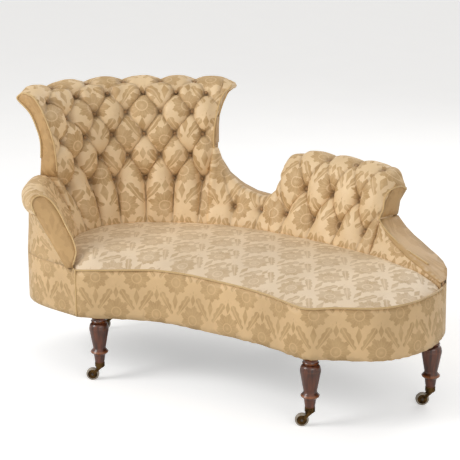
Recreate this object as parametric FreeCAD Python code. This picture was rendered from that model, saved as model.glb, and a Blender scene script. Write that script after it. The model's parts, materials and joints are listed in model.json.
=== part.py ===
import FreeCAD, Part
import math
import os
from FreeCAD import Vector

# A button-tufted Victorian chaise longue: a kidney-shaped sprung seat, a high back
# at the left that swoops down to a low rolled hump at the right, one scrolled arm,
# and five turned legs on castors. Plan view: x runs along the seat, y to the back.

# Heights above the floor; all but the legs are measured up from the tops of the legs
leg_height = 235.0
border_height = 160.0
rail_height = 85.0
pad_thickness_at_rail = 27.0
seat_back_height = leg_height + 195.0
seat_crown = 24.0
high_back_height = seat_back_height + 502.0
hump_height = leg_height + 467.0
cover_split_height = leg_height + 165.0
seat_pad_bottom = leg_height + rail_height + pad_thickness_at_rail

# Outline of the seat frame, anticlockwise from the front left corner:
# x, y, how far the top of the border leans in, and how much higher it is there
rim_points = [
    (-262, -551, 0, -4),
    (-150, -507, 4, 2),
    (-20, -452, 10, 8),
    (127, -439, 13, 10),
    (330, -445, 10, 6),
    (480, -466, 4, 0),
    (590, -492, 0, -3),
    (665, -455, 6, 0),
    (775, -397, 12, 0),
    (845, -315, 16, 0),
    (878, -195, 18, 0),
    (868, -70, 8, 0),
    (820, 45, 0, 0),
    (700, 130, 0, 0),
    (500, 200, 0, 0),
    (300, 232, 0, 0),
    (100, 240, 0, 0),
    (-100, 226, 0, 0),
    (-300, 172, 0, 0),
    (-470, 60, 0, 0),
    (-585, -75, 0, 0),
    (-636, -200, 0, 0),
    (-630, -310, 0, 0),
    (-590, -410, 0, 0),
    (-497, -498, 0, 0),
    (-370, -534, 0, 0),
    (-262, -551, 0, -4),
]
border_end = 11.0
skirt_seam = 19.0

# Inner foot of the arm and back, where the seat meets them, from the front left
# corner round to the right end
foot_points = [
    (-270, -550),
    (-360, -458),
    (-443, -335),
    (-466, -180),
    (-380, -40),
    (-250, 46),
    (-110, 100),
    (54, 118),
    (228, 106),
    (448, 65),
    (677, -6),
    (862, -74),
]

# Lean of the inner face: share of the way up from the seat to the top of the high
# back, and distance behind the foot line
face_lean = [
    (0.0, 0),
    (0.14, 35),
    (0.32, 70),
    (0.44, 78),
    (0.55, 79),
    (0.64, 83),
    (0.78, 105),
    (0.9, 132),
    (0.956, 150),
    (0.982, 166),
]

# Rear line of the high back above the split of its cover, with the same shares
rear_line = [
    (0.32, 144),
    (0.54, 139),
    (0.69, 141),
    (0.76, 153),
    (0.86, 177),
    (0.914, 204),
    (0.946, 222),
]

# Ear of the high back that flares out at the right: distance along the foot line and
# share of the way up at which it starts there
ear_edge = [
    (874, 0.843),
    (885, 0.934),
    (904, 0.964),
]
ear_root = 0.75

# Height of the seat along the foot line, lower at both ends
seat_back_line = [
    (8, seat_back_height - 28),
    (140, seat_back_height),
    (1650, seat_back_height),
    (1904, seat_back_height - 27),
]

# Distances along the foot line
arm_start = 8.0
arm_end = 334.0
high_back_end = 868.0
swoop_end = 1118.0
hump_end = 1560.0
tail_end = 1904.0

# Buttons of the high back: two sets of columns in turn, and how far up their rows are
even_columns = [375, 460, 540, 636, 733, 830]
odd_columns = [418, 499, 586, 684, 787]
even_rows = [0.309, 0.637, 0.926]
odd_rows = [0.478, 0.787]
button_land = 16.0
button_diameter = 14.0
button_thickness = 4.0
button_depth = 8.0
pleat_depth = 3.0

# Buttons of the swoop and the hump, with the heights of their rows above the seat
swoop_columns = [953, 1057]
hump_even_columns = [1164, 1283, 1398, 1510]
hump_odd_columns = [1222, 1338, 1453]
lower_row = 65.0
hump_row = 160.0

# Thicknesses of the upholstery and the frame
cover_thickness = 3.0
board_thickness = 17.0
rail_inset = 10.0
rail_thickness = 28.0
post_width = 44.0
post_relief = 2.7
low_rail_height = 55.0
facing_thickness = 3.0
piping_height = 6.0
edge_roll_width = 34.0
spring_diameter = 84.0
spring_waist = 52.0
spring_wire = 3.4
spring_turns = 4
strap_x = range(-540, 850, 125)
strap_y = range(-330, 80, 130)
webbing_width = 50.0
webbing_thickness = 1.0
hessian_thickness = 1.4
post_distances = [358, 480, 610, 740, 846]
arm_post_spans = [(80, 104), (188, 216), (272, 302)]
swoop_post_distances = [905, 1000, 1092]
hump_post_distances = [1150, 1340, 1534]
clearance = 0.3

# Legs: place on the outline and distance in from it
leg_places = {
    "front_left": (0.62, 29.0),
    "middle_front": (6.25, 29.0),
    "right_end": (10.85, 30.0),
    "rear_centre": (15.5, 29.0),
    "rear_left": (19.6, 58.0),
}
leg_pin_diameter = 24.0
leg_pin_length = 60.0
leg_foot_height = 52.0
leg_foot_diameter = 30.0

# Castors
wheel_diameter = 44.0
wheel_width = 15.0
castor_trail = 25.0
castor_heading = 213.0
axle_diameter = 5.0
axle_clearance = 0.06
axle_head_diameter = 8.0
axle_head_length = 1.2
cheek_thickness = 2.6
cheek_gap = 0.6
cheek_radius = 6.5
fork_plate_diameter = 27.0
fork_plate_thickness = 3.4
cup_thickness = 1.6
cup_height = 14.0
pintle_diameter = 8.0
pintle_length = 26.0

up = Vector(0, 0, 1)


def spline(points):
    curve = Part.BSplineCurve()
    curve.interpolate(Points=points, Parameters=[float(i) for i in range(len(points))])
    return curve


rim_curve = spline([Vector(p[0], p[1], 0) for p in rim_points])
rim_last = len(rim_points) - 1

foot_curve = Part.BSplineCurve()
foot_curve.interpolate([Vector(p[0], p[1], 0) for p in foot_points])


def mix(a, b, t):
    return a + (b - a) * t


def table(pairs, x):
    """Straight-line reading of a list of pairs."""
    if x <= pairs[0][0]:
        return pairs[0][1]
    for (x0, y0), (x1, y1) in zip(pairs, pairs[1:]):
        if x <= x1:
            return mix(y0, y1, (x - x0) / (x1 - x0))
    return pairs[-1][1]


def rim_normal(place):
    """Inward normal of the outline, mitred at the front left corner."""
    def side(at):
        t = rim_curve.tangent(at)[0]
        return Vector(-t.y, t.x, 0).normalize()
    if 0 < place < rim_last:
        return side(place)
    a = side(0)
    b = side(rim_last)
    return (a + b) * (1 / (1 + a.dot(b)))


def rim_value(place, column):
    return table([(i, p[column]) for i, p in enumerate(rim_points)], place)


def rim(place, z, inset):
    """Point of the border, leaning in towards its top, moved in by inset."""
    rise = (z - leg_height) / border_height
    lean = rim_value(place, 2) * rise
    point = rim_curve.value(place) + rim_normal(place) * (inset + lean)
    return Vector(point.x, point.y, z)


def border_top(place):
    return leg_height + border_height + rim_value(place, 3)


def span(start, end, count):
    return [mix(start, end, i / (count - 1)) for i in range(count)]


def rim_edge(places, z, inset):
    height = z if callable(z) else lambda place: z
    return spline([rim(p, height(p), inset) for p in places]).toShape()


def closed(points):
    return Part.makePolygon(points + [points[0]])


def band(start, end, low, high, inset0, inset1):
    """Wall between two heights and two insets along part of the outline."""
    places = span(start, end, max(8, int((end - start) * 4)))
    edges = {}
    for level, z in (("low", low), ("high", high)):
        for side, inset in (("outer", inset0), ("inner", inset1)):
            edges[level, side] = rim_edge(places, z, inset)
    faces = [
        Part.makeRuledSurface(edges["low", "outer"], edges["high", "outer"]),
        Part.makeRuledSurface(edges["low", "inner"], edges["high", "inner"]),
        Part.makeRuledSurface(edges["low", "outer"], edges["low", "inner"]),
        Part.makeRuledSurface(edges["high", "outer"], edges["high", "inner"]),
    ]
    for tip in (0, -1):
        corners = [("low", "outer"), ("low", "inner"), ("high", "inner"), ("high", "outer")]
        points = [edges[corner].Vertexes[tip].Point for corner in corners]
        faces.append(Part.Face(closed(points)))
    shell = Part.Compound(faces)
    shell.sewShape()
    solid = Part.Solid(shell.Shells[0])
    if solid.Volume < 0:
        solid.reverse()
    return solid


def plate(z0, z1, inset):
    """Flat sheet that fills the outline."""
    places = span(0, rim_last, 80)
    edge = rim_edge(places, z0, inset)
    return Part.Face(Part.Wire([edge])).extrude(Vector(0, 0, z1 - z0))


class Station:
    """Cross-section plane of the arm or back, square to the foot line."""

    def __init__(self, distance, lean=0.0, swing=0.0):
        at = foot_curve.parameterAtDistance(distance, 0.0)
        t = foot_curve.tangent(at)[0]
        self.distance = distance
        self.lean = lean
        self.base = foot_curve.value(at)
        self.along = Vector(t.x, t.y, 0).normalize()
        turn = FreeCAD.Rotation(up, swing * -1)
        self.along = turn.multVec(self.along)
        self.out = Vector(-self.along.y, self.along.x, 0)
        ray = Part.LineSegment(self.base - self.out * 20, self.base + self.out * 300)
        hit = rim_curve.toShape().distToShape(ray.toShape())[1][0][0]
        place = rim_curve.parameter(hit)
        self.slant = 1 / rim_normal(place).dot(self.out * -1)
        lean_in = rim_value(place, 2) * (cover_split_height - leg_height) / border_height
        self.rim_offset = (hit - self.base).dot(self.out) - lean_in * self.slant

    def normal(self):
        """Direction square to the plane, which leans with the arm."""
        return (self.along - up * self.lean).normalize()

    def point(self, offset, z):
        slope = self.lean * (z - cover_split_height)
        return self.base + self.out * offset + self.along * slope + up * z

    def ring(self, corners):
        """Closed wire; each corner is offset, height and bulge of the next edge."""
        edges = []
        for (o0, z0, bulge), (o1, z1, _) in zip(corners, corners[1:] + corners[:1]):
            a = self.point(o0, z0)
            b = self.point(o1, z1)
            if not bulge:
                edges.append(Part.LineSegment(a, b).toShape())
                continue
            length = math.hypot(o1 - o0, z1 - z0)
            middle = self.point((o0 + o1) / 2 - (z1 - z0) / length * bulge,
                                (z0 + z1) / 2 + (o1 - o0) / length * bulge)
            edges.append(Part.Arc(a, middle, b).toShape())
        return Part.Wire(edges)


def loft(wires):
    solid = Part.makeLoft(wires, True, True)
    if solid.Volume < 0:
        solid.reverse()
    return solid


def shifted(chain, distance):
    """Open chain moved sideways, towards the sitter for a chain that runs up."""
    moved = []
    for i, (o, z) in enumerate(chain):
        before = chain[max(i - 1, 0)]
        after = chain[min(i + 1, len(chain) - 1)]
        do = after[0] - before[0]
        dz = after[1] - before[1]
        length = math.hypot(do, dz)
        moved.append((o - dz / length * distance, z + do / length * distance))
    return moved


def up_back(share):
    """Height of a share of the way from the seat to the top of the high back."""
    return mix(seat_back_height, high_back_height, share)


def face(z, depth=0.0):
    """Offset of the inner face at a height, sunk by depth."""
    share = (z - seat_back_height) / (high_back_height - seat_back_height)
    return table(face_lean, share) + depth


even_heights = [up_back(share) for share in even_rows]
odd_heights = [up_back(share) for share in odd_rows]
lower_height = seat_back_height + lower_row
hump_row_height = seat_back_height + hump_row


rail_top = leg_height + rail_height
pad_bottom = rail_top + clearance
high_top = (195.0, high_back_height)
high_nose = (229.0, high_back_height - 17)
frame_gap = cover_thickness + clearance
frame_depth = frame_gap + board_thickness


def high_rear(station):
    """Outer line of the high back, from the split of the cover to its top."""
    line = [(station.rim_offset, cover_split_height)]
    for share, offset in rear_line:
        line.append((offset, up_back(share)))
    line[1] = (mix(station.rim_offset, line[1][0], 0.7), line[1][1])
    return line


def inner_line(station, rear, depth):
    """Rear line moved in, and carried down to the seat rail."""
    line = shifted(rear, depth)
    foot = station.rim_offset - depth
    foot = min(foot, station.rim_offset - rail_inset - rail_thickness)
    return [(foot, pad_bottom), (min(foot, line[0][0]), cover_split_height)] + line[1:]


def high_pad_corners(station, front):
    rear = high_rear(station)
    back = inner_line(station, rear, frame_depth + clearance)[:-1]
    nose = [(high_nose[0], high_nose[1], 0), (rear[-1][0] + 1, rear[-1][1] + 3.5, 0)]
    back = [(o, z, 0) for o, z in reversed(back)]
    return front + nose + back


top_bulge = 6.0


def even_front(rows, land, deep):
    half = land / 2
    low, middle, high = rows
    return [
        (0, pad_bottom, 0),
        (0, seat_back_height, 3),
        (face(low - half, deep), low - half, 0),
        (face(low + half, deep), low + half, 19),
        (face(middle - half, deep), middle - half, 0),
        (face(middle + half, deep), middle + half, 19),
        (face(high - half, deep), high - half, 0),
        (face(high + half, deep), high + half, 7),
        (high_top[0], high_top[1] + 3, top_bulge),
    ]


def odd_front(rows, land, deep):
    half = land / 2
    low, high = rows
    return [
        (0, pad_bottom, 0),
        (0, seat_back_height, 19),
        (face(low - half - 7, deep - 1), low - half - 7, 0),
        (face(low - half, deep), low - half, 0),
        (face(low + half, deep), low + half, 19),
        (face(high - half, deep), high - half, 0),
        (face(high + half, deep), high + half, 16),
        (high_top[0] - land, high_top[1] - 7, 0),
        (high_top[0], high_top[1] - 4, 5),
    ]


def middle_front(deep, bulge):
    e0, e1, e2 = even_heights
    o0, o1 = odd_heights
    crossings = [(e0 + o0) / 2, (o0 + e1) / 2, (e1 + o1) / 2, (o1 + e2) / 2]
    front = [(0, pad_bottom, 0), (0, seat_back_height, bulge * 1.5)]
    front.append((face(crossings[0] - 2, deep), crossings[0] - 2, 0))
    for z in [crossings[0] + 2] + crossings[1:]:
        front.append((face(z, deep), z, bulge))
    front.append((high_top[0] - 38, high_top[1] - 12, bulge * 0.5))
    front.append((high_top[0], high_top[1], top_bulge))
    return front


def columns_and_middles(even, odd, start, end):
    """Distances of the cross-sections: a pair at each button column, one between."""
    half = button_land / 2
    columns = [(s, "even") for s in even] + [(s, "odd") for s in odd]
    columns.sort()
    places = [(s, "middle") for s in start]
    previous = None
    for distance, kind in columns:
        if previous:
            places.append(((previous + distance) / 2, "middle"))
        places.append((distance - half, kind))
        places.append((distance + half, kind))
        previous = distance
    return places + [(s, "middle") for s in end]


high_places = columns_and_middles(
    even_columns, odd_columns, [arm_end + clearance], [high_back_end - clearance])


def high_back_stations():
    """Cross-sections of the tufted pad."""
    wires = []
    for distance, kind in high_places:
        if kind == "even":
            front = even_front(even_heights, button_land, button_depth)
        elif kind == "odd":
            front = odd_front(odd_heights, button_land, button_depth)
        elif distance in (high_places[0][0], high_places[-1][0]):
            front = middle_front(1.0, 4.0)
        else:
            front = middle_front(pleat_depth, 11.0)
        station = Station(distance)
        wires.append(station.ring(high_pad_corners(station, front)))
    return wires


def ear_section(distance, low):
    """Cross-section of the ear above a share of the way up."""
    foot = up_back(low)
    middle = mix(foot, high_back_height, 0.5)
    behind = min(low, rear_line[-1][0])
    return Station(distance).ring([
        (face(foot), foot, 0),
        (face(middle), middle, 0),
        (high_top[0], high_top[1], 0),
        (high_nose[0], high_nose[1], 0),
        (table(rear_line, behind), up_back(behind), 0),
    ])


def high_back_pad():
    places = [(high_back_end - clearance, ear_root)] + ear_edge
    ear = loft([ear_section(s, low) for s, low in places])
    return loft(high_back_stations()).fuse(ear)


# The low back: the swoop, the hump and the tail that runs out at the right end, as
# distances along the foot line and heights above the seat
low_top = [
    (868, 270),
    (881, 225),
    (911, 172),
    (952, 136),
    (1003, 113),
    (1059, 104),
    (1092, 116),
    (1118, 145),
]
tail_top = [
    (1560, 115),
    (1600, 82),
    (1640, 60),
    (1721, 30),
    (1800, 10),
    (1904, -19),
]
# Degrees by which the last cross-sections of the tail swing round the corner
tail_swing = [
    (1840, 0),
    (1904, -26),
]
# How far the hump falls short of its full height at its two ends
hump_fall = [
    (1118, 46),
    (1132, 20),
    (1156, 14),
    (1172, 14),
    (1193, 0),
    (1518, 0),
    (1540, 10),
    (1560, 42),
]
swoop_stations = [869, 881, 896, 911, 930, 945, 961, 980, 1003, 1026, 1049, 1065, 1092, 1117]
tail_stations = [1562, 1600, 1640, 1680, 1721, 1760, 1800, 1840, 1862, 1884, 1903]


def tail_station(distance):
    return Station(distance, 0.0, table(tail_swing, distance))


def low_rear_offset(station):
    return max(station.rim_offset, 24.0)


def low_section(station, top_line):
    """Plain stretch of the low back with a flat top."""
    distance = station.distance
    top = seat_back_height + table(top_line, distance)
    reach = face(top)
    rear = max(12.0, low_rear_offset(station) - (frame_depth + clearance) * station.slant)
    rear_foot = max(11.0, min(rear, station.rim_offset - rail_inset - rail_thickness))
    near = min(abs(distance - s) for s in swoop_columns)
    sink = button_depth if near < 9 else -6.0
    if distance > hump_end:
        sink = 2.0
    seat = min(table(seat_back_line, distance), top - 10)
    middle = min(lower_height, mix(seat, top, 0.55))
    return station.ring([
        (0, pad_bottom, 0),
        (0, seat, (middle - seat) * 0.04),
        (face(middle, sink), middle, (top - middle) * 0.06),
        (min(reach, rear - 8), top, 0),
        (rear, top, 0),
        (min(rear, rear_foot), cover_split_height, 0),
        (rear_foot, pad_bottom, 0),
    ])


hump_nose = (184.0, hump_height - 22)
hump_roll = (128.0, hump_height)


def hump_rear(station):
    drop = table(hump_fall, station.distance)
    return [
        (station.rim_offset, cover_split_height),
        (142, hump_height - 112 - drop),
        (152, hump_height - 62 - drop),
        (177, hump_height - 34 - drop),
    ]


def hump_corners(station, front):
    rear = hump_rear(station)
    drop = table(hump_fall, station.distance)
    back = inner_line(station, rear, frame_depth + clearance)[:-1]
    nose = [(hump_nose[0], hump_nose[1] - drop, 0), (rear[-1][0] + 1, rear[-1][1] + 3, 0)]
    return front + nose + [(o, z, 0) for o, z in reversed(back)]


def hump_front(kind, distance):
    half = button_land / 2
    drop = table(hump_fall, distance)
    roll_o, roll_z = hump_roll
    roll_z -= drop
    deep = button_depth
    start = [(0, pad_bottom, 0)]
    if kind == "even":
        return start + [
            (0, seat_back_height, 2),
            (face(lower_height - half, deep), lower_height - half, 0),
            (face(lower_height + half, deep), lower_height + half, 22),
            (roll_o - land_shift, roll_z - 10, 0),
            (roll_o, roll_z - 5, 9),
        ]
    if kind == "odd":
        return start + [
            (0, seat_back_height, 16),
            (face(hump_row_height - half - 7, deep - 1), hump_row_height - half - 7, 0),
            (face(hump_row_height - half, deep), hump_row_height - half, 0),
            (face(hump_row_height + half, deep), hump_row_height + half, 19),
            (roll_o, roll_z + 3, 8),
        ]
    crossing = (lower_height + hump_row_height) / 2
    upper = (face(hump_height - 62) + 4, hump_height - 54 - drop)
    return start + [
        (0, seat_back_height, 9),
        (face(crossing - 2, pleat_depth), crossing - 2, 0),
        (face(crossing + 2, pleat_depth), crossing + 2, 10),
        (upper[0], upper[1], 8),
        (roll_o, roll_z, 8),
    ]


land_shift = 14.0


hump_places = columns_and_middles(
    hump_even_columns, hump_odd_columns,
    [swoop_end + clearance, swoop_end + 14], [hump_end - 20, hump_end - clearance])


def hump_stations():
    wires = []
    for distance, kind in hump_places:
        station = Station(distance)
        wires.append(station.ring(hump_corners(station, hump_front(kind, distance))))
    return wires


# The arm: its front and rear cross-sections, as offsets and heights above the split of
# the cover; the front leans back along the arm
arm_front_section = [
    (0, 0), (0, 12), (-14, 46), (22, 148), (60, 210), (95, 225), (124, 198), (112, 166),
]
arm_rear_section = [
    (0, 0), (0, 38), (12, 62), (62, 160), (100, 222), (140, 238), (193, 188), (165, 132),
]
arm_bulges = [0, 0, 5, 2, 6, 14, 6]
arm_front_lean = 0.6


def arm_station(distance):
    share = (distance - arm_start) / (arm_end - arm_start)
    return Station(distance, arm_front_lean * (1 - share) ** 1.5), share


def arm_rear(station, share):
    foot = max(station.rim_offset, 26.0)
    (o0, z0), (o1, z1) = arm_front_section[-1], arm_rear_section[-1]
    return [(foot, cover_split_height), (mix(o0, o1, share), cover_split_height + mix(z0, z1, share))]


def arm_corners(station, share):
    inner = []
    for (o0, z0), (o1, z1), bulge in zip(arm_front_section, arm_rear_section, arm_bulges + [0]):
        inner.append((mix(o0, o1, share), cover_split_height + mix(z0, z1, share), bulge))
    inner[0] = (inner[0][0], cover_split_height + clearance, 0)
    low, under = moved_in(arm_rear(station, share), frame_depth + clearance)
    return inner + [(under[0], under[1], 0), (max(low[0], 4.0), cover_split_height + clearance, 0)]


def moved_in(line, depth):
    """Sloping line of two points moved in, with its ends at their old heights."""
    (o0, z0), (o1, z1) = line
    inward = depth * math.hypot(o1 - o0, z1 - z0) / (z1 - z0)
    return [(o0 - inward, z0), (o1 - inward, z1)]


arm_distances = [arm_start, 32, 56, 80, 104, 132, 160, 188, 216, 244, 272, 302, arm_end - clearance]


def cover_strip(station, rear):
    """Thin shell along a rear line."""
    inner = shifted(rear, cover_thickness)
    inner[0] = (rear[0][0] - cover_thickness, rear[0][1])
    line = rear + inner[::-1]
    top = len(rear) - 1
    line[top] = (line[top][0], rear[-1][1] - clearance)
    line[top + 1] = (line[top + 1][0], min(line[top + 1][1], rear[-1][1]) - clearance)
    return station.ring([(o, z, 0) for o, z in line])


def board(station, rear, first, last):
    """Cross-section of a frame board between the cover and the pad."""
    outer = shifted(rear, frame_gap)[first:last]
    inner = shifted(rear, frame_depth)[first:last]
    return station.ring([(o, z, 0) for o, z in outer + inner[::-1]])


def post(station, rear, last, drop=1.0):
    """Upright board on the seat rail, following the rear line up to a corner."""
    outer = shifted(rear, frame_gap + post_relief)[1:last]
    inner = shifted(rear, frame_depth - post_relief)[1:last]
    outer[-1] = (outer[-1][0], outer[-1][1] - drop)
    inner[-1] = (inner[-1][0], inner[-1][1] - drop)
    foot_out = station.rim_offset - rail_inset - 2
    foot_in = station.rim_offset - rail_inset - rail_thickness + 4
    line = [(foot_out, rail_top)] + outer + inner[::-1] + [(foot_in, rail_top)]
    return slab(station, [(o, z, 0) for o, z in line], -post_width / 2, post_width)


def slab(station, corners, start, thickness):
    """Flat piece that lies across the foot line."""
    wire = station.ring(corners)
    normal = station.normal()
    wire.translate(normal * start)
    return Part.Face(wire).extrude(normal * thickness)


def low_rear(station, top_line):
    top = seat_back_height + table(top_line, station.distance)
    foot = low_rear_offset(station)
    return [(foot, cover_split_height), (foot, top - low_rail_height), (foot, top)]


def stations(start, end, step):
    count = max(2, int(round((end - start) / step)) + 1)
    return [Station(s) for s in span(start, end, count)]


def leg_axis(name):
    place, inset = leg_places[name]
    return rim(place, leg_height, inset)


# Turned profile: drop below the rail, diameter and bulge of the next stretch
leg_profile = [
    (0, 50, 0),
    (5, 47, 0),
    (8, 54, -3.5),
    (21, 54, 0),
    (27, 43, 3),
    (40, 64, 0),
    (46, 67, 0),
    (52, 66, 0),
    (116, 43, 0),
    (120, 44, 0),
    (130, 61, 0),
    (134, 58, 0),
    (141, 41, 0),
]


def leg(name):
    axis = leg_axis(name)
    foot = leg_foot_diameter / 2
    points = [(d / 2, leg_height - drop, bulge) for drop, d, bulge in leg_profile]
    points.append((38 / 2, leg_height - 146, 0))
    points.append((foot + 1.5, leg_foot_height + cup_height + 4, 0))
    points.append((foot, leg_foot_height + cup_height, 0))
    points.append((foot, leg_foot_height + clearance, 0))
    bore = pintle_diameter / 2 + 0.1
    bore_top = leg_foot_height + clearance + pintle_length
    points.append((bore, leg_foot_height + clearance, 0))
    points.append((bore, bore_top, 0))
    points.append((0, bore_top, 0))
    pin = leg_pin_diameter / 2
    points.append((0, leg_height + leg_pin_length, 0))
    points.append((pin, leg_height + leg_pin_length, 0))
    points.append((pin, leg_height, 0))
    edges = []
    for (r0, z0, bulge), (r1, z1, _) in zip(points, points[1:] + points[:1]):
        a = Vector(r0, 0, z0)
        b = Vector(r1, 0, z1)
        if bulge:
            length = a.distanceToPoint(b)
            side = Vector(-(z1 - z0), 0, r1 - r0) * (bulge / length)
            edges.append(Part.Arc(a, (a + b) * 0.5 - side * -1, b).toShape())
        else:
            edges.append(Part.LineSegment(a, b).toShape())
    shape = Part.Face(Part.Wire(edges)).revolve(Vector(0, 0, 0), up, 360)
    shape.translate(Vector(axis.x, axis.y, 0))
    return shape


heading = Vector(math.cos(math.radians(castor_heading)), math.sin(math.radians(castor_heading)), 0)
across = Vector(-heading.y, heading.x, 0)


def castor_frame(name):
    axis = leg_axis(name)
    foot = Vector(axis.x, axis.y, 0)
    hub = foot + heading * castor_trail + up * (wheel_diameter / 2)
    return foot, hub


def castor_cup(name):
    """Brass cup round the foot of the leg."""
    foot, _ = castor_frame(name)
    bottom = leg_foot_height - cup_thickness
    outer = leg_foot_diameter / 2 + 0.1 + cup_thickness
    cup = Part.makeCylinder(outer, cup_height, foot + up * bottom)
    cup = cup.cut(Part.makeCylinder(leg_foot_diameter / 2 + 0.1, cup_height, foot + up * leg_foot_height))
    return cup.cut(Part.makeCylinder(pintle_diameter / 2 + 0.1, cup_height, foot + up * (bottom - 1)))


def castor_fork(name):
    """Round plate with its pintle, and two cheeks down to the axle."""
    foot, hub = castor_frame(name)
    plate_top = leg_foot_height - cup_thickness - clearance
    plate_bottom = plate_top - fork_plate_thickness
    solid = Part.makeCylinder(fork_plate_diameter / 2, fork_plate_thickness, foot + up * plate_bottom)
    pintle_height = leg_foot_height + pintle_length - 1 - plate_top
    solid = solid.fuse(Part.makeCylinder(pintle_diameter / 2, pintle_height, foot + up * plate_top))
    inside = wheel_width / 2 + cheek_gap
    reach = math.sqrt((fork_plate_diameter / 2) ** 2 - (inside + cheek_thickness) ** 2)
    for side in (-1, 1):
        start = inside if side > 0 else -inside - cheek_thickness
        base = across * start
        top = plate_bottom + 0.5
        drop = hub.z
        corners = [
            foot + heading * reach + up * top,
            foot + heading * (castor_trail + cheek_radius) + up * drop,
            foot + heading * castor_trail + up * (drop - cheek_radius),
            foot + heading * (castor_trail - cheek_radius) + up * drop,
            foot + heading * -reach + up * top,
        ]
        corners = [c + base for c in corners]
        edges = [
            Part.LineSegment(corners[0], corners[1]).toShape(),
            Part.Arc(corners[1], corners[2], corners[3]).toShape(),
            Part.LineSegment(corners[3], corners[4]).toShape(),
            Part.LineSegment(corners[4], corners[0]).toShape(),
        ]
        cheek = Part.Face(Part.Wire(edges)).extrude(across * cheek_thickness)
        solid = solid.fuse(cheek)
    eye = Part.makeCylinder(axle_diameter / 2 + 0.02, 60, hub - across * 30, across)
    return solid.cut(eye).removeSplitter()


def castor_axle(name):
    """Pin through both cheeks, riveted over at its ends."""
    _, hub = castor_frame(name)
    half = wheel_width / 2 + cheek_gap + cheek_thickness
    pin = Part.makeCylinder(axle_diameter / 2, 2 * half + 0.2, hub - across * (half + 0.1), across)
    for side in (-1, 1):
        start = hub + across * (side * (half + 0.1))
        head = Part.makeCone(axle_head_diameter / 2, axle_diameter / 2, axle_head_length, start, across * side)
        pin = pin.fuse(head)
    return pin


def castor_wheel(name):
    """Ceramic wheel with a rounded tread and a thin hub face."""
    _, hub = castor_frame(name)
    radius = wheel_diameter / 2
    half = wheel_width / 2
    bore = axle_diameter / 2 + axle_clearance
    corners = [
        Vector(bore, 0, -half),
        Vector(radius - 3, 0, -half),
        Vector(radius, 0, -half + 4),
        Vector(radius, 0, half - 4),
        Vector(radius - 3, 0, half),
        Vector(bore, 0, half),
    ]
    wheel = Part.Face(closed(corners)).revolve(Vector(0, 0, 0), up, 360)
    turn = FreeCAD.Rotation(up, across)
    wheel.Placement = FreeCAD.Placement(hub, turn)
    return wheel


def seat_fan(inset, count=22):
    """Pairs of points across the seat, from the border to the foot line."""
    pairs = []
    for t in span(0.01, 0.99, count):
        place = t * border_end
        front = rim(place, border_top(place), inset)
        station = Station(t * tail_end)
        foot = station.base - station.out * 0.5
        foot.z = table(seat_back_line, station.distance)
        pairs.append((front, foot))
    return pairs


def seat_pad():
    """Crowned seat between the border and the foot of the arm and back."""
    wires = []
    for front, back in seat_fan(cover_thickness + 1.0, 30):
        rise = min(seat_crown, (back - front).Length * 0.12)
        middle = (front + back) * 0.5 + up * rise
        low_front = Vector(front.x, front.y, seat_pad_bottom)
        low_back = Vector(back.x, back.y, seat_pad_bottom)
        wires.append(Part.Wire([
            Part.LineSegment(low_front, front).toShape(),
            Part.Arc(front, middle, back).toShape(),
            Part.LineSegment(back, low_back).toShape(),
            Part.LineSegment(low_back, low_front).toShape(),
        ]))
    return loft(wires)


def spring_hessian():
    """Cloth over the springs, just under the seat pad."""
    wires = []
    top = seat_pad_bottom - clearance
    for front, foot in seat_fan(edge_roll_width + 2):
        corners = [
            Vector(front.x, front.y, top - hessian_thickness),
            Vector(front.x, front.y, top),
            Vector(foot.x, foot.y, top),
            Vector(foot.x, foot.y, top - hessian_thickness),
        ]
        wires.append(closed(corners))
    return loft(wires[1:-1])


def spring(x, y):
    """Waisted coil spring, ten sides to the turn."""
    bottom = leg_height + 0.2
    top = seat_pad_bottom - 2 * clearance - hessian_thickness
    sides = 10
    half = spring_wire / 2
    steps = spring_turns * sides
    squares = []
    for i in range(steps + 1):
        share = i / steps
        angle = 2 * math.pi * i / sides
        waist = abs(2 * share - 1)
        radius = mix(spring_waist, spring_diameter, waist) / 2 - half
        z = mix(bottom + half, top - half, share)
        ray = Vector(math.cos(angle), math.sin(angle), 0)
        centre = Vector(x, y, z) + ray * radius
        squares.append(closed([
            centre - ray * half - up * half,
            centre + ray * half - up * half,
            centre + ray * half + up * half,
            centre - ray * half + up * half,
        ]))
    return loft(squares)


def leg_holes(diameter, bottom, height):
    """Round cutters at the legs."""
    holes = []
    for name in leg_places:
        axis = leg_axis(name)
        holes.append(Part.makeCylinder(diameter / 2, height, Vector(axis.x, axis.y, bottom)))
    return holes


def webbing():
    """Straps across and along the seat, tacked under the rails."""
    top = leg_height - 0.1
    straps = []
    for x in strap_x:
        low = Vector(x - webbing_width / 2, -600, top - webbing_thickness)
        straps.append(Part.makeBox(webbing_width, 1000, webbing_thickness, low))
    for y in strap_y:
        low = Vector(-700, y - webbing_width / 2, top - 2 * webbing_thickness - 0.1)
        straps.append(Part.makeBox(1700, webbing_width, webbing_thickness, low))
    sheet = plate(top - 3, top + 1, rail_inset + 6)
    holes = leg_holes(56, top - 5, 10)
    return Part.makeCompound([solid for strap in straps
                              for solid in strap.common(sheet).cut(holes).Solids])


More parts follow.
